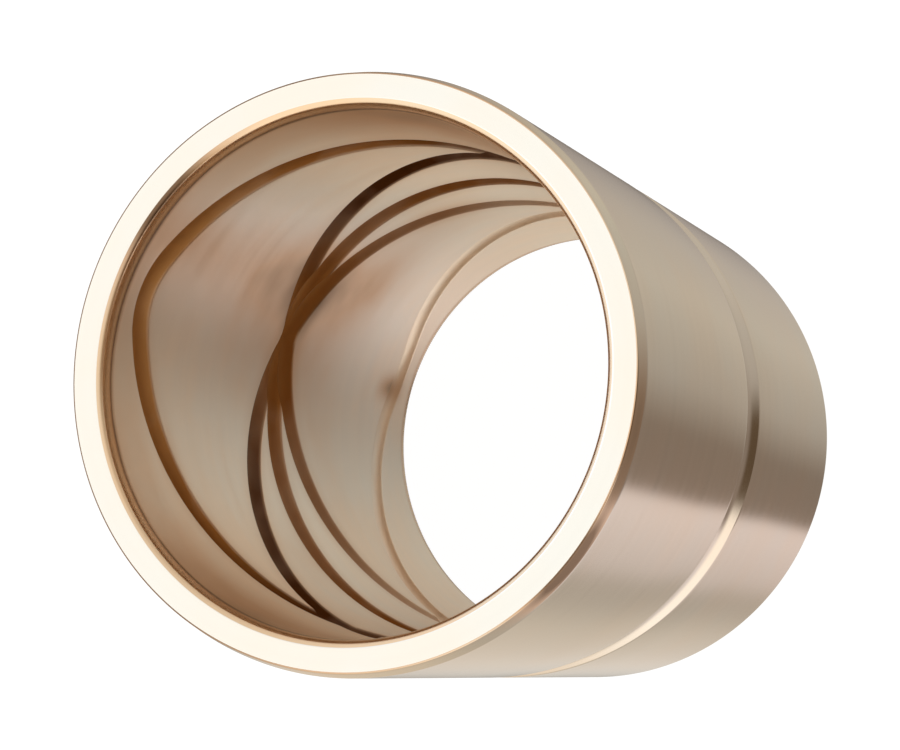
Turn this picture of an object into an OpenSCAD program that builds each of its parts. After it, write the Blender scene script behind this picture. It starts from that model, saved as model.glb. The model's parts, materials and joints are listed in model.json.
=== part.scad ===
// Grooved bronze sleeve bushing, turned from one piece.
// It stands on its lower end: +Z runs up the bore and the origin is the middle
// of the lower end face. The oil grooves of the bore turn round above the +X side.
// All sizes are in millimetres and all angles in degrees.

/* [Sleeve] */
// Bore diameter, a running fit on the shaft
bore_d = 70; // [50:1:120]
// Thickness of the wall from the bore to the outside, which is pressed into a housing
wall = 5; // [4:0.25:12]
// Length from end face to end face
sleeve_len = 120; // [80:1:200]

/* [Edges] */
// How far each mouth of the bore opens out at its end face
mouth_flare = 1.2; // [0.4:0.1:2]
// How far each flared mouth reaches into the bore
mouth_len = 2.4; // [1:0.1:4]
// How far the outside is drawn in at each end face, to lead into a housing
lead_in = 0.6; // [0.3:0.1:1.5]
// How far each lead-in reaches along the outside
lead_in_len = 2.6; // [1:0.1:4]

/* [Outside oil groove] */
// Width of the groove where it opens on the outside
outer_groove_w = 7.6; // [4:0.1:12]
// Depth of the groove below the outside
outer_groove_depth = 1.3; // [0.6:0.1:2]
// How far the groove's middle lies below the middle of the sleeve
outer_groove_drop = 3; // [0:0.5:10]

/* [Bore ring groove] */
// Width of the ring groove where it opens in the bore
ring_groove_w = 5.6; // [3:0.1:8]
// Depth of the ring groove below the bore
ring_groove_depth = 1.5; // [0.8:0.1:2]

/* [Figure-eight grooves] */
// Width of a figure-eight groove where it opens in the bore
eight_groove_w = 4.6; // [3:0.1:6]
// Depth of a figure-eight groove below the bore
eight_groove_depth = 1.3; // [0.6:0.1:1.5]
// Distance from an end face to the middle of the groove where it turns back
turn_from_end = 8.6; // [5:0.1:15]
// Angle from the tip of a turn to where the groove runs straight again
turn_half_angle = 9; // [4:1:20]
// Number of figure-eight loops spaced evenly round the bore
loop_count = 2; // [1:1:3]

/* [Hidden] */

bronze = [0.74, 0.64, 0.52];

bore_r = bore_d / 2;
outer_r = bore_r + wall;
mid_z = sleeve_len / 2;
outer_groove_z = mid_z - outer_groove_drop;

// Facets of the turned surfaces, and the angle where their round starts and closes,
// which keeps that line clear of the places where grooves turn or cross
round_facets = 180;
round_start = 45;
// Steps of a figure-eight groove over each rounded turn and over its straight run
turn_steps = 4;
run_steps = 57;
// Facets across the round bottom of a figure-eight groove
bottom_facets = 6;
// How far the cutter of a figure-eight groove stands clear of the bore wall
cutter_clear = 0.7;

// Radius of the round bottom of a groove, from its width and its depth
function bottom_r(w, depth) = (w * w / 4 + depth * depth) / (2 * depth);

// A strand is half a figure-eight loop: one full turn up the bore, from the tip of
// the lower turn to the tip of the upper one. Between its turns it climbs evenly.
climb = (mid_z - turn_from_end) / (180 - turn_half_angle / 2);

// Height of a strand above its lower tip: a parabola over the turn, then a line
function lower_half_rise(angle) =
    angle < turn_half_angle
        ? climb * angle * angle / (2 * turn_half_angle)
        : climb * (angle - turn_half_angle / 2);

// Height of a strand's middle above the lower end face, the same from both ends
function strand_z(angle) =
    angle <= 180
        ? turn_from_end + lower_half_rise(angle)
        : sleeve_len - turn_from_end - lower_half_rise(360 - angle);

// Climb of a strand in degrees of slope, which flattens to nothing at each tip
function strand_slope(angle) =
    let (from_tip = min(angle, 360 - angle))
    atan(climb * min(from_tip / turn_half_angle, 1) / (bore_r * PI / 180));

// Angles of the sections along a strand, closer together where it turns
strand_angles = concat(
    [for (i = [0 : turn_steps - 1]) turn_half_angle * i / turn_steps],
    [for (i = [0 : run_steps]) turn_half_angle + (360 - 2 * turn_half_angle) * i / run_steps],
    [for (i = [1 : turn_steps]) 360 - turn_half_angle * (1 - i / turn_steps)]);

// One section of a strand: an arc in a plane through the bore's axis, stretched
// along the axis so that the groove keeps its width square to its own run
function strand_section(angle) =
    let (
        arc_r = bottom_r(eight_groove_w, eight_groove_depth),
        arc_mid = bore_r + eight_groove_depth - arc_r,
        arc_half = acos((arc_r - eight_groove_depth - cutter_clear) / arc_r),
        stretch = 1 / cos(strand_slope(angle)))
    [for (k = [0 : bottom_facets])
        let (
            tilt = arc_half * (2 * k / bottom_facets - 1),
            r = arc_mid + arc_r * cos(tilt))
        [r * cos(angle), r * sin(angle), strand_z(angle) + stretch * arc_r * sin(tilt)]];

// Cutter of one strand: its sections joined by triangles and closed at both tips
module strand() {
    side = bottom_facets + 1;
    last = (len(strand_angles) - 1) * side;
    points = [for (angle = strand_angles) each strand_section(angle)];
    skin = [for (i = [0 : len(strand_angles) - 2], k = [0 : side - 1])
        let (
            near = i * side + k,
            near_next = i * side + (k + 1) % side,
            far = near + side,
            far_next = near_next + side)
        each [[near, near_next, far], [near_next, far_next, far]]];
    tips = [[for (k = [side - 1 : -1 : 0]) k], [for (k = [0 : side - 1]) last + k]];
    polyhedron(points = points, faces = concat(skin, tips), convexity = 10);
}

// One figure-eight loop: two strands of opposite hand that share both tips
module figure_eight() {
    strand();
    mirror([0, 1, 0]) strand();
}

// All figure-eight loops of the bore
module figure_eights() {
    for (i = [0 : loop_count - 1]) rotate([0, 0, 360 * i / loop_count]) figure_eight();
}

// Round-bottomed ring groove in the middle of the bore
module ring_groove() {
    arc_r = bottom_r(ring_groove_w, ring_groove_depth);
    translate([0, 0, mid_z])
        rotate_extrude($fn = round_facets)
            translate([bore_r + ring_groove_depth - arc_r, 0])
                circle(r = arc_r, $fn = 96);
}

// Round-bottomed ring groove on the outside
module outer_groove() {
    arc_r = bottom_r(outer_groove_w, outer_groove_depth);
    translate([0, 0, outer_groove_z])
        rotate_extrude($fn = round_facets)
            translate([outer_r - outer_groove_depth + arc_r, 0])
                circle(r = arc_r, $fn = 96);
}

// Plain sleeve with a flared mouth and a slim lead-in at each end
module blank() {
    rotate_extrude($fn = round_facets)
        polygon([
            [bore_r + mouth_flare, 0],
            [outer_r - lead_in, 0],
            [outer_r, lead_in_len],
            [outer_r, sleeve_len - lead_in_len],
            [outer_r - lead_in, sleeve_len],
            [bore_r + mouth_flare, sleeve_len],
            [bore_r, sleeve_len - mouth_len],
            [bore_r, mouth_len]]);
}

// All that comes off the lathe: the sleeve with its two ring grooves
module turned_sleeve() {
    rotate([0, 0, round_start])
        difference() {
            blank();
            outer_groove();
            ring_groove();
        }
}

module bushing() {
    color(bronze)
        difference() {
            turned_sleeve();
            figure_eights();
        }
}

bushing();
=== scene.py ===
"""Grooved bronze bushing: the finish of the turned sleeve, and the studio it stands in."""

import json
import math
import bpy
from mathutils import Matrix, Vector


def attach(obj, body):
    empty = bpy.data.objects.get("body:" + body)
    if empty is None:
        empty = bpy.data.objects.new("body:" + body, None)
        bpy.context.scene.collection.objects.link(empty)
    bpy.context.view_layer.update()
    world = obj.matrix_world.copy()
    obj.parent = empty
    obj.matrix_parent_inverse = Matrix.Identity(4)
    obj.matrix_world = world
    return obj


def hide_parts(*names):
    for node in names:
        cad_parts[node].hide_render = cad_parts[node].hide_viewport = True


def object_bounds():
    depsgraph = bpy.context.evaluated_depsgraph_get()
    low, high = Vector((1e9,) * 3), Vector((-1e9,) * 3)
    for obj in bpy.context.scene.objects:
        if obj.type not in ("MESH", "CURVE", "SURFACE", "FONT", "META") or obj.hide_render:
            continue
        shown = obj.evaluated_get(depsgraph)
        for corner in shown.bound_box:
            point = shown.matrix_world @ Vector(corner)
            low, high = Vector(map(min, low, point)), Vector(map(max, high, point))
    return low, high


bl_info = {
    "name": "Grooved Bronze Bushing",
    "version": (1, 0, 0),
    "blender": (4, 5, 0),
    "location": "3D View > Sidebar > Bushing",
    "description": "A turned bronze sleeve with oil grooves, and a light tent round it",
    "category": "Add Mesh",
}

import bpy
import numpy as np
from bpy.props import FloatProperty, FloatVectorProperty, IntProperty, PointerProperty
from mathutils import Quaternion, Vector

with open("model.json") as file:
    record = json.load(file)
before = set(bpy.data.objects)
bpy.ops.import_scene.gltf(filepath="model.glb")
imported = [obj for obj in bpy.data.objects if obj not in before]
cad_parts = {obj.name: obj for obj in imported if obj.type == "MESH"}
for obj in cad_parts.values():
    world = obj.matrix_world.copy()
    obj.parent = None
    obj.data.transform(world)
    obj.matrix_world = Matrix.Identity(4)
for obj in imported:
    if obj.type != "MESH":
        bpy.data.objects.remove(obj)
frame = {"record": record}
cad_low, cad_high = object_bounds()

MM = 0.001
MOUNT_DIMS = {mount["name"]: mount["dims"] for mount in frame["record"]["mounts"]}
LENGTH = cad_high.z - cad_low.z
BORE_RADIUS = MOUNT_DIMS["bore"]["r_mm"] * MM
OUTER_RADIUS = MOUNT_DIMS["outside"]["r_mm"] * MM
MOUTH_LENGTH = (LENGTH - MOUNT_DIMS["bore"]["length_mm"] * MM) / 2
LEAD_LENGTH = (LENGTH - MOUNT_DIMS["outside"]["length_mm"] * MM) / 2

# Where grid lines run over one half of a groove, as shares of its half width, and
# over the land beside it, as shares of the margin and of what is left of the land
INSIDE_LINES = (0.22, 0.45, 0.66, 0.83, 0.94, 1.0)
MARGIN_LINES = (0.12, 0.35, 1.0)
LAND_LINES = (0.33, 0.67)

# Width of the margin beside a groove, and how close two grooves' middle lines may come
GROOVE_MARGIN = 0.8 * MM
LEAST_SPACING = 1.0 * MM

# Lines round the bore wall, as distances from its flared mouth, and how far from each
# mouth and each lead-in the lines that follow the grooves begin
WALL_LINES = (1.7 * MM, 1.1 * MM, 0.6 * MM, 0.25 * MM)
BORE_START = 2.1 * MM
OUTSIDE_START = 0.5 * MM

# Section of a flared mouth: how many lines run over it, how near the last one comes to
# the end face, the share of the depth that is an even slope, and the roll-over's power
MOUTH_LINES = 11
MOUTH_REACH = 0.13
MOUTH_SLOPE = 0.33
MOUTH_POWER = 7

# Lines over a lead-in, as shares of its width, the margin inside the borders of an end
# face, and the groove level that stands for land far away from any groove
LEAD_LINES = (0.85, 0.6, 0.35)
FACE_MARGIN = 0.3 * MM
FAR_LAND = -12.0 * MM

# Tones of the light tent by azimuth, in degrees from +X towards +Y. Seen from above, the
# sleeve's walls mirror the low ring, its outer edges and the sides of its grooves mirror
# the horizon, and its flared mouths the upper ring
LOW_TONES = (
    (0, (0.10, 0.08, 0.06)),
    (20, (0.14, 0.12, 0.10)),
    (42, (0.76, 0.79, 0.79)),
    (58, (0.90, 0.92, 0.92)),
    (92, (0.76, 0.78, 0.78)),
    (112, (0.56, 0.58, 0.59)),
    (122, (0.56, 0.57, 0.58)),
    (131, (0.78, 0.79, 0.88)),
    (166, (1.00, 1.01, 1.15)),
    (171, (0.31, 0.28, 0.27)),
    (200, (0.29, 0.27, 0.26)),
    (222, (0.51, 0.54, 0.56)),
    (265, (0.69, 0.73, 0.74)),
    (300, (0.60, 0.61, 0.61)),
    (330, (0.38, 0.36, 0.35)),
    (342, (0.14, 0.12, 0.10)),
    (360, (0.10, 0.08, 0.06)),
)
HORIZON_TONES = (
    (0, (1.20, 1.38, 1.66)),
    (40, (1.18, 1.30, 1.46)),
    (62, (1.02, 1.00, 0.96)),
    (88, (0.96, 0.92, 0.84)),
    (110, (1.14, 1.14, 1.12)),
    (135, (1.40, 1.44, 1.48)),
    (174, (1.34, 1.36, 1.38)),
    (179, (0.12, 0.09, 0.06)),
    (204, (0.12, 0.09, 0.06)),
    (214, (0.50, 0.52, 0.53)),
    (245, (0.66, 0.69, 0.70)),
    (275, (0.62, 0.64, 0.64)),
    (302, (0.68, 0.64, 0.60)),
    (318, (0.76, 0.76, 0.74)),
    (330, (0.92, 0.98, 1.06)),
    (345, (1.14, 1.30, 1.54)),
    (360, (1.20, 1.38, 1.66)),
)
UPPER_TONES = (
    (0, (1.25, 1.36, 1.52)),
    (60, (1.26, 1.28, 1.28)),
    (95, (1.18, 1.16, 1.09)),
    (119, (1.35, 1.34, 1.30)),
    (134, (0.74, 0.64, 0.46)),
    (147, (0.13, 0.07, 0.03)),
    (175, (0.13, 0.07, 0.03)),
    (181, (0.38, 0.28, 0.20)),
    (198, (0.33, 0.24, 0.16)),
    (216, (0.50, 0.44, 0.36)),
    (240, (0.64, 0.57, 0.48)),
    (300, (0.84, 0.82, 0.78)),
    (360, (1.25, 1.36, 1.52)),
)

# The z of a direction between which the low ring gives way to the horizon, the horizon
# to the upper ring, and the upper ring to the roof, and the tint of the roof
HORIZON_RISE = (-0.74, -0.46)
UPPER_RISE = (0.08, 0.2)
ROOF_RISE = (0.5, 0.82)
ROOF_TINT = (1.0, 0.99, 0.97, 1)

# The floor: half its width, its own grey, and how brightly it shows to the camera
FLOOR_REACH = 3.0
FLOOR_GREY = 0.12
FLOOR_GLOW = 0.97

# Patches of oil film on the bore wall, in its mouths and on the lead-ins, where two dark
# patches on the upper lead-in are painted reflection instead: azimuth and height of the
# middle, half size as azimuth and height, and strength, in degrees and millimetres. A negative
# strength takes film away, and ALL_ROUND makes a patch a ring
ALL_ROUND = 900
BORE_PATCHES = (
    (-14, 62, 13, 22, 1.7),
    (4, 66, 15, 24, 0.50),
    (-22, 37, 14, 8, 0.5),
    (-14, 101, 9, 17, 0.85),
    (0, 106, 12, 10, 0.20),
    (-80, 112, 26, 13, 0.80),
    (86, 112, 26, 12, 0.75),
    (-46, 44, 16, 10, 0.45),
    (-48, 87, 16, 13, -0.5),
    (60, 66, 12, 9, 0.30),
    (20, 46, 26, 10, 0.30),
    (6, 11, 3.5, 4, 1.4),
    (118, 44, 24, 18, 0.7),
    (171, 82, 20, 26, 0.9),
    (232, 36, 26, 20, 0.7),
    (262, 96, 18, 14, 0.6),
    (0, 117.5, ALL_ROUND, 0.5, 1.3),
    (0, 2.5, ALL_ROUND, 0.5, 0.6),
)
MOUTH_PATCHES = (
    (-21, 119.8, 17, 0.8, 2.3),
    (0, 117.6, ALL_ROUND, 0.6, 1.8),
    (0, 2.4, ALL_ROUND, 0.6, 1.0),
)
EDGE_PATCHES = (
    # The dark patches at -171 and 161 degrees on the upper lead-in are painted reflection of dark
    # surroundings, not oil
    (-171, 118.6, 14, 2.5, 1.2),
    (161, 119.0, 12, 1.9, 2.8),
    # A thin dark line along half of the upper outer edge
    (8, 120, 90, 0.35, 3.6),
    (210, 1.2, 24, 2.0, 0.8),
)

# Heights in the bore, in metres, between which its look changes: where the film and the
# film of the upper mouth set in, where grooves begin to be stained and are fully so,
# where old oil sets in and ends, where amber oil sets in, and where the wall gets smoother
FILM_RISE = (0.02, 0.045)
MOUTH_FILM_RISE = (0.1, 0.117)
STAIN_RISE = (0.03, 0.054)
FULL_STAIN_RISE = (0.088, 0.100)
OLD_OIL_RISE = (0.060, 0.070)
OLD_OIL_FALL = (0.086, 0.096)
AMBER_RISE = (0.096, 0.105)
SMOOTH_RISE = (0.03, 0.06)

# Levels in millimetres below the bore wall between which a groove's film, its stain and
# its roughness set in
FILM_LEVEL = (-6.0, 0.3)
STAIN_LEVEL = (-0.3, 0.4)
ROUGH_LEVEL = (-0.4, 0.4)

# The part of the tarnish noise that is used, how tarnish changes red, green and blue, and
# the tint of the bronze where it is seen at a flat angle
CLOUD_RANGE = (0.3, 0.7)
WARM_SHIFT = (0.5, -0.3, -1.0)
SPECULAR_TINT = (0.86, 0.77, 0.67, 1)

# How much a step in radius counts for the lathe marks beside a step in height, how their
# bands are scaled against single marks, and which part of the bands' tone changes the
# roughness and the shade, and by what factors
RADIUS_WEIGHT = 1.37
BAND_SCALE = 0.11
ROUGH_TONES = (0.25, 0.75)
ROUGH_FACTORS = (0.92, 1.08)
SHADE_TONES = (0.2, 0.8)
SHADE_FACTORS = (0.975, 1.02)


class BushingSizes(bpy.types.PropertyGroup):
    """Sizes of the sleeve, its edges and its grooves."""

    length: FloatProperty(
        name="Length", description="From end face to end face",
        default=LENGTH, min=0.08, max=0.2, unit="LENGTH")
    bore_radius: FloatProperty(
        name="Bore radius", description="Radius of the running surface",
        default=BORE_RADIUS, min=0.025, max=0.06, unit="LENGTH")
    outer_radius: FloatProperty(
        name="Outer radius", description="Radius of the pressed surface",
        default=OUTER_RADIUS, min=0.03, max=0.07, unit="LENGTH")
    mouth_flare: FloatProperty(
        name="Mouth flare", description="How far each mouth of the bore opens out at its end face",
        default=1.2 * MM, min=0.0004, max=0.002, unit="LENGTH")
    mouth_length: FloatProperty(
        name="Mouth length", description="How far each flared mouth reaches into the bore",
        default=MOUTH_LENGTH, min=0.001, max=0.004, unit="LENGTH")
    lead_in: FloatProperty(
        name="Lead-in", description="How far the outside is drawn in at each end face",
        default=0.6 * MM, min=0.0003, max=0.0015, unit="LENGTH")
    lead_length: FloatProperty(
        name="Lead-in length", description="How far each lead-in reaches along the outside",
        default=LEAD_LENGTH, min=0.001, max=0.004, unit="LENGTH")
    edge_tangent: FloatProperty(
        name="Edge break", description="How far a broken edge runs along each of its sides",
        default=0.2 * MM, min=0.00002, max=0.0003, unit="LENGTH")
    outer_groove_width: FloatProperty(
        name="Outside groove width", description="Width where the groove opens on the outside",
        default=7.6 * MM, min=0.004, max=0.012, unit="LENGTH")
    outer_groove_depth: FloatProperty(
        name="Outside groove depth", description="Depth below the outside",
        default=1.3 * MM, min=0.0006, max=0.002, unit="LENGTH")
    outer_groove_drop: FloatProperty(
        name="Outside groove drop", description="How far it lies below the middle of the sleeve",
        default=3.0 * MM, min=0.0, max=0.01, unit="LENGTH")
    ring_groove_width: FloatProperty(
        name="Ring groove width", description="Width where the ring groove opens in the bore",
        default=5.6 * MM, min=0.003, max=0.008, unit="LENGTH")
    ring_groove_depth: FloatProperty(
        name="Ring groove depth", description="Depth of the ring groove below the bore",
        default=1.5 * MM, min=0.0008, max=0.002, unit="LENGTH")
    eight_groove_width: FloatProperty(
        name="Figure-eight groove width", description="Width where the groove opens in the bore",
        default=4.6 * MM, min=0.003, max=0.006, unit="LENGTH")
    eight_groove_depth: FloatProperty(
        name="Figure-eight groove depth", description="Depth of the groove below the bore",
        default=1.3 * MM, min=0.0006, max=0.0015, unit="LENGTH")
    turn_from_end: FloatProperty(
        name="Turn from end", description="From an end face to the middle of a groove's turn",
        default=8.6 * MM, min=0.005, max=0.015, unit="LENGTH")
    turn_half_angle: FloatProperty(
        name="Turn half angle", description="From the tip of a turn to its straight run",
        default=math.radians(9), min=0.07, max=0.35, subtype="ANGLE")
    groove_edge: FloatProperty(
        name="Groove edge", description="How softly a groove's edge is broken",
        default=0.16 * MM, min=0.00002, max=0.0005, unit="LENGTH")
    columns: IntProperty(
        name="Columns", description="Grid columns round the sleeve",
        default=440, min=96, max=480)


class BushingFinish(bpy.types.PropertyGroup):
    """Colours of the bronze and of what lies in its grooves."""

    bronze: FloatVectorProperty(
        name="Bronze", description="Colour of the turned outside and its groove",
        default=(0.76, 0.62, 0.48), min=0, max=1, subtype="COLOR")
    bored: FloatVectorProperty(
        name="Bored bronze", description="Colour of the bore wall where it is clean",
        default=(0.94, 0.80, 0.64), min=0, max=1, subtype="COLOR")
    # The two film colours also darken the upper lead-in, where they are painted reflection
    film: FloatVectorProperty(
        name="Oil film", description="Colour of the bronze under a thin film of old oil",
        default=(0.70, 0.47, 0.30), min=0, max=1, subtype="COLOR")
    thick_film_and_painted_reflection: FloatVectorProperty(
        name="Thick oil film", description="Colour of the bronze where the film has built up",
        default=(0.24, 0.145, 0.085), min=0, max=1, subtype="COLOR")
    faced: FloatVectorProperty(
        name="Faced bronze", description="Colour of the freshly faced ends",
        default=(0.90, 0.86, 0.78), min=0, max=1, subtype="COLOR")
    mouth: FloatVectorProperty(
        name="Mouth bronze", description="Colour of the flared mouths of the bore",
        default=(0.84, 0.63, 0.43), min=0, max=1, subtype="COLOR")
    edged: FloatVectorProperty(
        name="Edged bronze", description="Colour of the lead-ins at both ends of the outside",
        default=(0.80, 0.66, 0.50), min=0, max=1, subtype="COLOR")
    stain: FloatVectorProperty(
        name="Oil stain", description="Colour of the stained bottom of a bore groove",
        default=(0.38, 0.165, 0.042), min=0, max=1, subtype="COLOR")
    amber: FloatVectorProperty(
        name="Amber oil", description="Colour of a bore groove near the mouth, under thin oil",
        default=(0.56, 0.30, 0.11), min=0, max=1, subtype="COLOR")
    old_oil: FloatVectorProperty(
        name="Old oil", description="Colour of a bore groove where the oil has gone dark",
        default=(0.14, 0.05, 0.012), min=0, max=1, subtype="COLOR")


class StudioSettings(bpy.types.PropertyGroup):
    """Where the camera stands, what it sees, and how bright the light tent is."""

    camera_place: FloatVectorProperty(
        name="Camera place", description="Where the camera stands",
        default=(-0.13459, -0.01071, 0.45294), subtype="TRANSLATION", unit="LENGTH")
    camera_aim: FloatVectorProperty(
        name="Camera aim", description="The point that the camera looks at",
        default=(0.00702, -0.00304, 0.06249), subtype="TRANSLATION", unit="LENGTH")
    camera_roll: FloatProperty(
        name="Camera roll", description="Clockwise turn of the camera about its line of sight",
        default=math.radians(72.72), subtype="ANGLE")
    lens: FloatProperty(
        name="Lens", description="Focal length in millimetres",
        default=110.18, min=20, max=300)
    sensor_width: FloatProperty(
        name="Sensor width", description="Width of the camera's sensor in millimetres",
        default=36, min=8, max=60)
    tent_strength: FloatProperty(
        name="Tent strength", description="Brightness of the light tent's wall",
        default=1.0, min=0, max=3)
    roof_strength: FloatProperty(
        name="Roof strength", description="Brightness of the light tent's roof",
        default=1.12, min=0, max=3)


def settings():
    """The three groups of settings of the current scene."""
    scene = bpy.context.scene
    return scene.bushing_sizes, scene.bushing_finish, scene.bushing_studio


def strand_run(angle, size):
    """Height and slope of a groove strand, for angles of 0 to one full turn from its lower tip.

    The strand climbs evenly from its lower tip to its upper one, and over the turn
    angle at each tip the line gives way to a parabola with the same end slope:
    rise = climb * angle^2 / (2 * turn), then climb * (angle - turn / 2).
    The slope is height over distance along the bore wall.
    """
    turn = size.turn_half_angle
    climb = (size.length / 2 - size.turn_from_end) / (math.pi - turn / 2)
    from_tip = np.minimum(angle, 2 * math.pi - angle)
    rise = np.where(
        from_tip < turn,
        climb * from_tip**2 / (2 * turn),
        climb * (from_tip - turn / 2),
    )
    height = np.where(
        angle <= math.pi,
        size.turn_from_end + rise,
        size.length - size.turn_from_end - rise,
    )
    slope = climb * np.minimum(from_tip / turn, 1) / size.bore_radius
    return height, slope


def strands_by_height(azimuth, size):
    """Heights and slopes of the four strands at each azimuth, sorted from the lowest up.

    Two figure-eight loops start half a turn apart, and each has one strand of
    either hand, so a strand's own angle is plus or minus the azimuth past its start.
    """
    full = 2 * math.pi
    angles = np.array([
        hand * (azimuth - start) % full
        for start in (0, math.pi)
        for hand in (1, -1)
    ])
    height, slope = strand_run(angles, size)
    order = np.argsort(height, axis=0)
    return np.take_along_axis(height, order, 0), np.take_along_axis(slope, order, 0)


def bottom_level(distance, width, depth):
    """Level below the wall of a round-bottomed groove, at a distance from its middle line.

    Inside it is a circle's arc through both edges and the bottom. Outside it goes on
    along the arc's edge tangent, so it is 0 at the edge and negative on the land.
    """
    arc = (width**2 / 4 + depth**2) / (2 * depth)
    away = np.abs(distance)
    inside = np.sqrt(np.maximum(arc**2 - away**2, 0)) - (arc - depth)
    outside = -(away - width / 2) * (width / 2) / (arc - depth)
    return np.where(away < width / 2, inside, outside)


def soften(level, edge):
    """A level with its corner at 0 rounded: half of level + sqrt(level^2 + edge^2)."""
    return (level + np.sqrt(level**2 + edge**2)) / 2


def half_lines(gap, half_width, margin):
    """Distances of grid lines from a groove's middle to the border with its neighbour.

    The groove's own lines take their true width and the margin its own, as long as
    the gap holds them. In a narrow gap they share it: the groove gets at most 80% of
    it, and the margin 60% of what is left.
    """
    own = np.minimum(half_width, 0.8 * gap)
    beside = np.minimum(margin, 0.6 * (gap - own))
    land = gap - own - beside
    return np.array(
        [own * share for share in INSIDE_LINES]
        + [own + beside * share for share in MARGIN_LINES]
        + [own + beside + land * share for share in LAND_LINES])


def lines_round_grooves(middles, half_widths, low, high, margin):
    """Heights of grid lines that follow several grooves between two levels.

    Each groove has a line on its middle and lines at fixed shares of its half width
    on both sides, so that its edges always lie on grid lines. Two neighbours share
    the space between them in proportion to their widths.
    """
    reach = half_widths + margin
    borders = [np.broadcast_to(low, middles[0].shape)]
    for k in range(len(middles) - 1):
        share = reach[k] / (reach[k] + reach[k + 1])
        borders.append(middles[k] + (middles[k + 1] - middles[k]) * share)
    borders.append(np.broadcast_to(high, middles[0].shape))
    rows = [borders[0][None]]
    for k, middle in enumerate(middles):
        below = half_lines(middle - borders[k], half_widths[k], margin)
        above = half_lines(borders[k + 1] - middle, half_widths[k], margin)
        rows += [(middle - below)[::-1], middle[None], middle + above, borders[k + 1][None]]
    return np.concatenate(rows)


def spread(heights, least):
    """The sorted heights moved apart, so that grid lines never pile up at a crossing.

    A distance d becomes sqrt(d^2 + least^2). The lower pair and the upper pair keep their
    means, and then each pair's inner height is moved away from the middle one.
    """
    lowest, low, middle, high, highest = heights

    def apart(a, b):
        mean = (a + b) / 2
        half = np.sqrt((b - a) ** 2 + least**2) / 2
        return mean - half, mean + half

    lowest, low = apart(lowest, low)
    high, highest = apart(high, highest)
    low = middle - np.sqrt((middle - low) ** 2 + least**2)
    high = middle + np.sqrt((high - middle) ** 2 + least**2)
    return [lowest, low, middle, high, highest]


def bore_rows(azimuth, size, low, high):
    """Radius, height and groove level of the bore wall, from the lower mouth up.

    The radius is the bore's own plus the depth of the deepest groove at that place.
    A strand's distance is taken up the bore and multiplied by the cosine of its slope.
    """
    strand_height, strand_slope = strands_by_height(azimuth, size)
    cosine = 1 / np.sqrt(1 + strand_slope**2)
    half = size.eight_groove_width / 2 / cosine
    middle = np.full_like(azimuth, size.length / 2)
    ring_half = np.full_like(azimuth, size.ring_groove_width / 2)
    middles = spread([*strand_height[:2], middle, *strand_height[2:]], LEAST_SPACING)
    half_widths = np.array([*half[:2], ring_half, *half[2:]])
    z = lines_round_grooves(middles, half_widths, low, high, GROOVE_MARGIN)
    level = bottom_level(z - size.length / 2, size.ring_groove_width, size.ring_groove_depth)
    for height, cos in zip(strand_height, cosine):
        level = np.maximum(level, bottom_level(
            (z - height) * cos, size.eight_groove_width, size.eight_groove_depth))
    return size.bore_radius + soften(level, size.groove_edge), z, level


def outside_rows(size, low, high):
    """Radius, height and groove level of the outside, from the top down."""
    middle = np.array([size.length / 2 - size.outer_groove_drop])
    half = np.array([[size.outer_groove_width / 2]])
    z = lines_round_grooves([middle], half, low, high, GROOVE_MARGIN)[::-1, 0]
    level = bottom_level(z - middle, size.outer_groove_width, size.outer_groove_depth)
    return size.outer_radius - soften(level, size.groove_edge), z, level


def broken_corner(before, corner, after, tangent, steps=5):
    """Points of a corner rounded by a parabola that leaves each side at the tangent length."""
    before, corner, after = map(np.array, (before, corner, after))
    start = corner + (before - corner) * tangent / np.linalg.norm(before - corner)
    end = corner + (after - corner) * tangent / np.linalg.norm(after - corner)
    t = np.linspace(0, 1, steps)[:, None]
    return (1 - t) ** 2 * start + 2 * t * (1 - t) * corner + t**2 * end


def flat_rows(start, end, margin):
    """Points across a flat between two rounded corners: close to each end, and its middle."""
    reach = np.linalg.norm(end - start)
    near = min(margin / reach, 0.25)
    t = np.array([near, 0.5, 1 - near])[:, None]
    return start + (end - start) * t


# Finishes of the sleeve's strips, in the order of its material slots
BORE, OUTSIDE, FACE, MOUTH, EDGE = range(5)


def end_section(size):
    """An end's section from the bore wall out: points (radius, depth) and the strips' finishes.

    Over the mouth the radius is the bore's plus flare * (1 - u), and the depth is length *
    (slope * u + (1 - slope) * u^power), where u is 1 at the bore wall and 0 at the end
    face: an even slope that rolls over into the bore. The lead-in is a straight cone.
    """
    wall = np.array([(size.bore_radius, size.mouth_length + line) for line in WALL_LINES])
    u = np.sin(np.linspace(1, MOUTH_REACH, MOUTH_LINES) * math.pi / 2)
    mouth = np.stack([
        size.bore_radius + size.mouth_flare * (1 - u),
        size.mouth_length * (MOUTH_SLOPE * u + (1 - MOUTH_SLOPE) * u**MOUTH_POWER)], axis=-1)
    w = np.array(LEAD_LINES)
    lead = np.stack([
        size.outer_radius - size.lead_in * w,
        size.lead_length * (1 - w)], axis=-1)
    inner = (size.bore_radius + size.mouth_flare, 0)
    outer = (size.outer_radius - size.lead_in, 0)
    inner_break = broken_corner(mouth[-1], inner, outer, size.edge_tangent)
    outer_break = broken_corner(inner, outer, lead[0], size.edge_tangent)
    face = flat_rows(inner_break[-1], outer_break[0], FACE_MARGIN)
    shoulder = (size.outer_radius, size.lead_length)
    below = (size.outer_radius, 2 * size.lead_length)
    shoulder_break = broken_corner(lead[-1], shoulder, below, size.edge_tangent)
    strips = (
        (wall, BORE), (mouth, MOUTH), (inner_break, FACE),
        (face, FACE), (outer_break, EDGE), (lead, EDGE), (shoulder_break, OUTSIDE))
    points = np.concatenate([rows for rows, _ in strips])
    finish = np.concatenate([np.full(len(rows), made) for rows, made in strips])
    return points, finish


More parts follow.
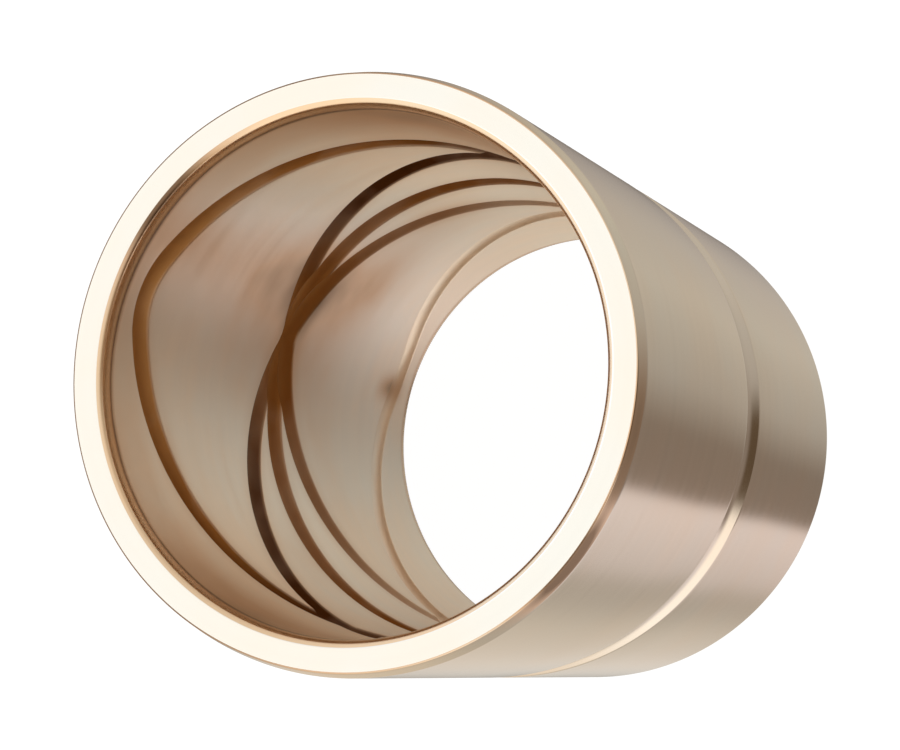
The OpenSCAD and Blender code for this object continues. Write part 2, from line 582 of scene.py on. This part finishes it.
def sleeve_section(size, azimuth):
    """The sleeve's closed section at every azimuth: radius, height, groove level and finish.

    It starts at the lower end of the bore wall, goes up the bore, out over the upper
    end, down the outside and back over the lower end. Only the bore's rows change
    with the azimuth, because only they follow the figure-eight grooves. A row's finish
    is that of the strip up to the next row, so the lower end's run one row late.
    """
    points, finish = end_section(size)
    radius, depth = points.T
    land = np.full(len(points), FAR_LAND)
    bore_end = size.mouth_length + BORE_START
    outside_end = size.lead_length + OUTSIDE_START
    parts = (
        (*bore_rows(azimuth, size, bore_end, size.length - bore_end), BORE),
        (radius, size.length - depth, land, finish),
        (*outside_rows(size, outside_end, size.length - outside_end), OUTSIDE),
        (radius[::-1], depth[::-1], land, np.append(finish[-2::-1], BORE)))
    columns = []
    for *values, made in parts:
        rows = len(values[0])
        columns.append([
            np.broadcast_to(value.reshape(rows, -1), (rows, azimuth.size)) for value in values])
        columns[-1].append(np.broadcast_to(made, rows))
    return [np.concatenate(column) for column in zip(*columns)]


def film_and_painted_reflection_strength(patches, z, azimuth):
    """Strength of the oil film over the sleeve, and of the painted reflection on the upper lead-in:
    a sum of soft round patches.

    Each patch falls off as exp(-u^2 - v^2), where u and v are the distances from its
    middle round the bore and up it, as shares of its half sizes.
    """
    strength = np.zeros(np.broadcast(z, azimuth).shape)
    for middle, height, half_turn, half_height, share in patches:
        turn = (np.remainder(np.degrees(azimuth) - middle + 180, 360) - 180) / half_turn
        rise = (z / MM - height) / half_height
        strength += share * np.exp(-turn**2 - rise**2)
    return strength


def closed_grid_mesh(name, radius, z, azimuth):
    """A mesh of quads on a grid of rings that is closed both round the axis and round the section.

    Each point is (radius cos azimuth, radius sin azimuth, z).
    """
    rows, columns = radius.shape
    points = np.stack([radius * np.cos(azimuth), radius * np.sin(azimuth), z], axis=-1)
    index = np.arange(rows * columns).reshape(rows, columns)
    next_row = np.roll(index, -1, axis=0)
    quads = np.stack([
        index, next_row, np.roll(next_row, -1, axis=1), np.roll(index, -1, axis=1)], axis=-1)
    mesh = bpy.data.meshes.new(name)
    mesh.from_pydata(points.reshape(-1, 3), [], quads.reshape(-1, 4))
    mesh.shade_smooth()
    mesh.validate()
    return mesh


def set_point_values(mesh, name, values):
    """Store one value for each point of the mesh, under a name that the materials read."""
    attribute = mesh.attributes.new(name, "FLOAT", "POINT")
    attribute.data.foreach_set("value", values.ravel().astype(np.float32))


class NodeTree:
    """Short calls that add nodes to a material, world or group, and link them."""

    def __init__(self, tree):
        self.tree = tree

    def add(self, kind, inputs=None, **values):
        """A new node with the values of its settings and of its input sockets."""
        node = self.tree.nodes.new(kind)
        for key, value in values.items():
            setattr(node, key, value)
        for socket, value in (inputs or {}).items():
            self.put(node, socket, value)
        return node

    def put(self, node, socket, value):
        """Link another node's output to a socket, or set the socket's own value."""
        if isinstance(value, bpy.types.NodeSocket):
            self.tree.links.new(value, node.inputs[socket])
        else:
            node.inputs[socket].default_value = value

    def math(self, operation, *terms, clamp=False):
        """The result of one step of arithmetic."""
        node = self.add("ShaderNodeMath", operation=operation, use_clamp=clamp)
        for k, term in enumerate(terms):
            self.put(node, k, term)
        return node.outputs[0]

    def mix(self, factor, first, second, blend="MIX"):
        """The second colour laid over the first by a factor."""
        node = self.add("ShaderNodeMix", data_type="RGBA", blend_type=blend)
        for socket, value in ((0, factor), (6, first), (7, second)):
            self.put(node, socket, (*value, 1) if isinstance(value, tuple) else value)
        return node.outputs[2]

    def attribute(self, name):
        """A value that the mesh carries for each of its points."""
        return self.add("ShaderNodeAttribute", attribute_name=name).outputs["Fac"]

    def axes(self, kind):
        """X, Y and Z of the coordinates of the given kind."""
        place = self.add("ShaderNodeTexCoord").outputs[kind]
        return self.add("ShaderNodeSeparateXYZ", {0: place}).outputs

    def band(self, value, low, high, start=0.0, end=1.0):
        """A smooth step from start to end, while the value goes from low to high."""
        node = self.add("ShaderNodeMapRange", interpolation_type="SMOOTHSTEP", inputs={
            "Value": value, "From Min": low, "From Max": high, "To Min": start, "To Max": end})
        return node.outputs[0]


def new_group(name, inputs, outputs):
    """Start a shader node group: its tree, the values it is given and its output node.

    An input is a name with a default number, and an output a name with a socket kind.
    """
    group = bpy.data.node_groups.new(name, "ShaderNodeTree")
    for socket, default in inputs:
        item = group.interface.new_socket(socket, in_out="INPUT", socket_type="NodeSocketFloat")
        item.default_value = default
    for socket, kind in outputs:
        group.interface.new_socket(socket, in_out="OUTPUT", socket_type=kind)
    tree = NodeTree(group)
    return tree, tree.add("NodeGroupInput").outputs, tree.add("NodeGroupOutput")


def lathe_marks_group():
    """Fine marks that a lathe tool leaves round the axis, with slow drift along each mark.

    Two noises are stretched round the axis: a fine one for single marks and a coarse
    one for bands of them. They vary along the section, by height plus weighted radius.
    """
    tree, given, out = new_group(
        "Lathe Marks",
        [("Marks per mm", 6.0), ("Drift", 0.12)],
        [("Height", "NodeSocketFloat"), ("Tone", "NodeSocketFloat")])
    axes = tree.axes("Object")
    radius = tree.math("SQRT", tree.math(
        "ADD", tree.math("MULTIPLY", axes[0], axes[0]), tree.math("MULTIPLY", axes[1], axes[1])))
    across = tree.math("ADD", tree.math("MULTIPLY", radius, RADIUS_WEIGHT), axes[2])
    fine = tree.math("MULTIPLY", across, tree.math("MULTIPLY", given["Marks per mm"], 1 / MM))
    around = tree.math("MULTIPLY", tree.math("ARCTAN2", axes[1], axes[0]), given["Drift"])

    def marks(scale):
        spot = tree.add("ShaderNodeCombineXYZ", {
            0: tree.math("MULTIPLY", fine, scale), 1: tree.math("COSINE", around)})
        return tree.add("ShaderNodeTexNoise", {
            "Vector": spot.outputs[0], "Scale": 1.0, "Detail": 2.0}).outputs[0]

    tree.put(out, "Height", marks(1.0))
    tree.put(out, "Tone", marks(BAND_SCALE))


def tarnish_group():
    """Slow cloudy change of tint over the metal, as a value round 0.5."""
    tree, given, out = new_group(
        "Tarnish", [("Cloud per m", 45.0)], [("Cloud", "NodeSocketFloat")])
    place = tree.add("ShaderNodeTexCoord").outputs["Object"]
    cloud = tree.add("ShaderNodeTexNoise", {
        "Vector": place, "Scale": given["Cloud per m"], "Detail": 3.0, "Roughness": 0.55})
    tree.put(out, "Cloud", cloud.outputs[0])


class Finish:
    """A material of turned bronze that starts from the shared groups of marks and tarnish."""

    def __init__(self, name, roughness, anisotropy, marks_per_mm, mark_depth):
        self.material = bpy.data.materials.new(name)
        self.material.use_nodes = True
        self.tree = NodeTree(self.material.node_tree)
        self.shader = self.material.node_tree.nodes["Principled BSDF"]
        self.marks = self.tree.add("ShaderNodeGroup", node_tree=bpy.data.node_groups["Lathe Marks"])
        self.marks.inputs["Marks per mm"].default_value = marks_per_mm
        self.cloud = self.tree.add("ShaderNodeGroup", node_tree=bpy.data.node_groups["Tarnish"])
        self.shader.inputs["Metallic"].default_value = 1.0
        self.shader.inputs["Specular Tint"].default_value = SPECULAR_TINT
        self.shader.inputs["Anisotropic"].default_value = anisotropy
        tangent = self.tree.add("ShaderNodeTangent", direction_type="RADIAL", axis="Z")
        self.tree.put(self.shader, "Tangent", tangent.outputs[0])
        bump = self.tree.add("ShaderNodeBump", {
            "Strength": 1.0, "Distance": mark_depth, "Height": self.marks.outputs["Height"]})
        self.tree.put(self.shader, "Normal", bump.outputs[0])
        self.rough = self.tree.band(
            self.marks.outputs["Tone"], *ROUGH_TONES,
            *(roughness * factor for factor in ROUGH_FACTORS))

    def tinted(self, color, amount):
        """The colour, drifting between a warmer and a cooler one with the tarnish."""
        cool, warm = (
            tuple(c * (1 + sign * amount * shift) for c, shift in zip(color, WARM_SHIFT))
            for sign in (-1, 1))
        drift = self.tree.band(self.cloud.outputs["Cloud"], *CLOUD_RANGE)
        toned = self.tree.mix(drift, cool, warm)
        shade = self.tree.band(self.marks.outputs["Tone"], *SHADE_TONES, *SHADE_FACTORS)
        return self.tree.mix(1.0, toned, shade, blend="MULTIPLY")

    def filmed_and_painted_reflection(self, color, film, finish):
        """The colour under an oil film, which is thin up to a strength of 1 and thick at 2; on the
        upper lead-in the same darkening is a painted reflection.
        """
        thick = self.tree.math("SUBTRACT", film, 1.0, clamp=True)
        color = self.tree.mix(self.tree.math("MINIMUM", film, 1.0), color, tuple(finish.film))
        return self.tree.mix(thick, color, tuple(finish.thick_film_and_painted_reflection))

    def close(self, color, rough):
        """The material, with its colour and roughness put in."""
        self.tree.put(self.shader, "Base Color", color)
        self.tree.put(self.shader, "Roughness", rough)
        return self.material


def bore_finish(finish):
    """Bored wall: pale deep down, darker under the oil film by the grooves and the mouth.

    The groove level in millimetres tells how far a place lies from the nearest groove.
    The stain in a groove is darkest above the middle of the sleeve and amber near its top.
    """
    made = Finish(
        "bored bronze", roughness=0.36, anisotropy=0.0, marks_per_mm=2.5, mark_depth=0.04e-6)
    tree = made.tree
    level = tree.attribute("groove_mm")
    height = tree.axes("Object")[2]
    cloud = tree.band(made.cloud.outputs["Cloud"], *CLOUD_RANGE, 0.75, 1.2)

    by_groove = tree.math(
        "MULTIPLY", tree.band(level, *FILM_LEVEL, 0.0, 0.25), tree.band(height, *FILM_RISE))
    by_mouth = tree.band(height, *MOUTH_FILM_RISE, 0.0, 0.4)
    film = tree.math(
        "ADD", tree.math("MAXIMUM", by_groove, by_mouth), tree.attribute("oil_film_and_painted_reflection"))
    film = tree.math("MULTIPLY", film, cloud)
    color = made.filmed_and_painted_reflection(made.tinted(tuple(finish.bored), amount=0.05), film, finish)

    dark = tree.math(
        "MULTIPLY", tree.band(height, *OLD_OIL_RISE), tree.band(height, *OLD_OIL_FALL, 1.0, 0.0))
    oil = tree.mix(dark, tuple(finish.stain), tuple(finish.old_oil))
    oil = tree.mix(tree.band(height, *AMBER_RISE), oil, tuple(finish.amber))
    worn = tree.math(
        "MAXIMUM", tree.band(height, *STAIN_RISE, 0.0, 0.95),
        tree.band(height, *FULL_STAIN_RISE, 0.0, 1.15))
    stained = tree.math("MULTIPLY", tree.band(level, *STAIN_LEVEL), worn)
    stained = tree.math("MULTIPLY", stained, cloud, clamp=True)
    color = tree.mix(stained, color, oil)

    rough = tree.math("MULTIPLY", made.rough, tree.band(height, *SMOOTH_RISE, 1.45, 1.15))
    in_groove = tree.math(
        "MULTIPLY", tree.band(level, *ROUGH_LEVEL), tree.band(height, *FILM_RISE, 0.0, 0.2))
    return made.close(color, tree.math("ADD", rough, in_groove))


def outside_finish(finish):
    """Turned outside: the same bronze with coarser marks, and a clean groove."""
    made = Finish(
        "turned bronze", roughness=0.15, anisotropy=0.3, marks_per_mm=4.0, mark_depth=0.06e-6)
    return made.close(made.tinted(tuple(finish.bronze), amount=0.04), made.rough)


def face_finish(finish):
    """Freshly faced end: pale and satin."""
    made = Finish(
        "faced bronze", roughness=0.26, anisotropy=0.3, marks_per_mm=3.0, mark_depth=0.03e-6)
    return made.close(made.tinted(tuple(finish.faced), amount=0.03), made.rough)


def mouth_finish(finish):
    """Flared mouths: warmer, cut with a form tool, with old oil along the bore's edge."""
    made = Finish(
        "flared bronze", roughness=0.24, anisotropy=0.2, marks_per_mm=6.0, mark_depth=0.1e-6)
    color = made.tinted(tuple(finish.mouth), amount=0.05)
    return made.close(made.filmed_and_painted_reflection(color, made.tree.attribute("oil_film_and_painted_reflection"), finish), made.rough)


def edge_finish(finish):
    """Lead-ins and the broken outer edges of the end faces, with old oil where it was handled, dark
    patches of painted reflection on the upper lead-in, and a thin dark line along half of its edge.
    """
    made = Finish(
        "edged bronze", roughness=0.17, anisotropy=0.3, marks_per_mm=4.0, mark_depth=0.06e-6)
    color = made.tinted(tuple(finish.edged), amount=0.04)
    # On the upper lead-in the dark patches are painted reflection of dark surroundings
    return made.close(made.filmed_and_painted_reflection(color, made.tree.attribute("oil_film_and_painted_reflection"), finish), made.rough)


class BUSHING_OT_sleeve(bpy.types.Operator):
    """Make the turned sleeve with its grooves and finishes, in place of the plain solid."""

    bl_idname = "bushing.sleeve"
    bl_label = "Make Sleeve"
    bl_options = {"REGISTER", "UNDO"}

    def execute(self, context):
        size, finish, _ = settings()
        lathe_marks_group()
        tarnish_group()
        azimuth = (np.arange(size.columns) + 0.5) * 2 * math.pi / size.columns
        radius, z, level, finish_of_row = sleeve_section(size, azimuth)
        mesh = closed_grid_mesh("bushing_sleeve", radius, z, azimuth)
        set_point_values(mesh, "groove_mm", np.maximum(level, FAR_LAND) / MM)
        row_finish = finish_of_row[:, None]
        # Oil film on the bore and the mouths; on the lead-ins partly painted reflection and a thin
        # dark line
        set_point_values(mesh, "oil_film_and_painted_reflection", np.select(
            [row_finish == BORE, np.isin(row_finish, (MOUTH, FACE))],
            [film_and_painted_reflection_strength(BORE_PATCHES, z, azimuth), film_and_painted_reflection_strength(MOUTH_PATCHES, z, azimuth)],
            film_and_painted_reflection_strength(EDGE_PATCHES, z, azimuth)))
        for made in (bore_finish, outside_finish, face_finish, mouth_finish, edge_finish):
            mesh.materials.append(made(finish))
        mesh.polygons.foreach_set(
            "material_index", np.repeat(finish_of_row, size.columns).astype(np.int32))
        sleeve = bpy.data.objects.new("bushing_sleeve", mesh)
        context.scene.collection.objects.link(sleeve)
        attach(sleeve, "root")
        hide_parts("bushing")
        return {"FINISHED"}


def tone_ring(tree, turn, tones):
    """Tones round the tent as a ramp over the share of a full turn."""
    ramp = tree.add("ShaderNodeValToRGB", {0: turn})
    stops = ramp.color_ramp.elements
    while len(stops) < len(tones):
        stops.new(0.5)
    for stop, (azimuth, tone) in zip(stops, tones):
        stop.position = azimuth / 360
        stop.color = (*tone, 1)
    return ramp.outputs[0]


def tent_world(studio):
    """Light tent: white to the camera, and toned rings under a pale roof to everything else."""
    world = bpy.data.worlds.new("light tent")
    world.use_nodes = True
    world.node_tree.nodes.clear()
    tree = NodeTree(world.node_tree)
    axes = tree.axes("Generated")
    turn = tree.math("FRACT", tree.math(
        "DIVIDE", tree.math("ARCTAN2", axes[1], axes[0]), 2 * math.pi))
    wall = tone_ring(tree, turn, LOW_TONES)
    for rise, tones in ((HORIZON_RISE, HORIZON_TONES), (UPPER_RISE, UPPER_TONES)):
        wall = tree.mix(tree.band(axes[2], *rise), wall, tone_ring(tree, turn, tones))
    tent = tree.add("ShaderNodeBackground", {"Color": wall, "Strength": studio.tent_strength})
    roof = tree.add("ShaderNodeBackground", {
        "Color": ROOF_TINT, "Strength": studio.roof_strength})
    tent = tree.add("ShaderNodeMixShader", {
        0: tree.band(axes[2], *ROOF_RISE), 1: tent.outputs[0], 2: roof.outputs[0]})
    white = tree.add("ShaderNodeBackground", {"Color": (1, 1, 1, 1), "Strength": 1.0})
    seen = tree.add("ShaderNodeLightPath").outputs["Is Camera Ray"]
    shown = tree.add("ShaderNodeMixShader", {0: seen, 1: tent.outputs[0], 2: white.outputs[0]})
    tree.add("ShaderNodeOutputWorld", {"Surface": shown.outputs[0]})
    return world


def floor_material():
    """Pale floor: white to the camera where it is lit, a touch darker in the sleeve's shadow."""
    material = bpy.data.materials.new("pale floor")
    material.use_nodes = True
    material.node_tree.nodes.clear()
    tree = NodeTree(material.node_tree)
    lit = tree.add("ShaderNodeBsdfDiffuse", {
        "Color": (FLOOR_GREY, FLOOR_GREY, FLOOR_GREY, 1)})
    glow = tree.add("ShaderNodeEmission", {"Color": (1, 1, 1, 1), "Strength": FLOOR_GLOW})
    seen = tree.add("ShaderNodeLightPath").outputs["Is Camera Ray"]
    shown = tree.add("ShaderNodeMixShader", {0: seen, 2: glow.outputs[0]})
    both = tree.add("ShaderNodeAddShader", {0: lit.outputs[0], 1: shown.outputs[0]})
    tree.add("ShaderNodeOutputMaterial", {"Surface": both.outputs[0]})
    return material


class BUSHING_OT_studio(bpy.types.Operator):
    """Make the light tent, the pale floor and the camera."""

    bl_idname = "bushing.studio"
    bl_label = "Make Studio"
    bl_options = {"REGISTER", "UNDO"}

    def execute(self, context):
        _, _, studio = settings()
        scene = context.scene
        scene.view_settings.view_transform = "Standard"
        scene.world = tent_world(studio)

        mesh = bpy.data.meshes.new("floor")
        corners = [
            (x * FLOOR_REACH, y * FLOOR_REACH, 0) for x, y in ((-1, -1), (1, -1), (1, 1), (-1, 1))]
        mesh.from_pydata(corners, [], [(0, 1, 2, 3)])
        mesh.materials.append(floor_material())
        floor = bpy.data.objects.new("floor", mesh)
        floor.visible_glossy = False
        scene.collection.objects.link(floor)

        data = bpy.data.cameras.new("camera")
        data.lens = studio.lens
        data.sensor_width = studio.sensor_width
        data.clip_start, data.clip_end = 0.01, 20
        camera = bpy.data.objects.new("camera", data)
        place, aim = Vector(studio.camera_place), Vector(studio.camera_aim)
        straight = (aim - place).to_track_quat("-Z", "Y")
        camera.rotation_mode = "QUATERNION"
        camera.rotation_quaternion = straight @ Quaternion((0, 0, -1), studio.camera_roll)
        camera.location = place
        scene.collection.objects.link(camera)
        scene.camera = camera
        return {"FINISHED"}


class BUSHING_PT_panel(bpy.types.Panel):
    """Sizes, colours and steps of the bushing, in the sidebar."""

    bl_idname = "BUSHING_PT_panel"
    bl_label = "Grooved Bronze Bushing"
    bl_space_type = "VIEW_3D"
    bl_region_type = "UI"
    bl_category = "Bushing"

    def draw(self, context):
        for group in settings():
            box = self.layout.box()
            for name in group.__annotations__:
                box.prop(group, name)
        self.layout.operator("bushing.sleeve")
        self.layout.operator("bushing.studio")


CLASSES = (
    BushingSizes, BushingFinish, StudioSettings,
    BUSHING_OT_sleeve, BUSHING_OT_studio, BUSHING_PT_panel)


def register():
    for cls in CLASSES:
        bpy.utils.register_class(cls)
    bpy.types.Scene.bushing_sizes = PointerProperty(type=BushingSizes)
    bpy.types.Scene.bushing_finish = PointerProperty(type=BushingFinish)
    bpy.types.Scene.bushing_studio = PointerProperty(type=StudioSettings)


def unregister():
    del bpy.types.Scene.bushing_studio
    del bpy.types.Scene.bushing_finish
    del bpy.types.Scene.bushing_sizes
    for cls in reversed(CLASSES):
        bpy.utils.unregister_class(cls)


def main():
    register()
    bpy.ops.bushing.studio()
    bpy.ops.bushing.sleeve()


if __name__ == "__main__":
    main()
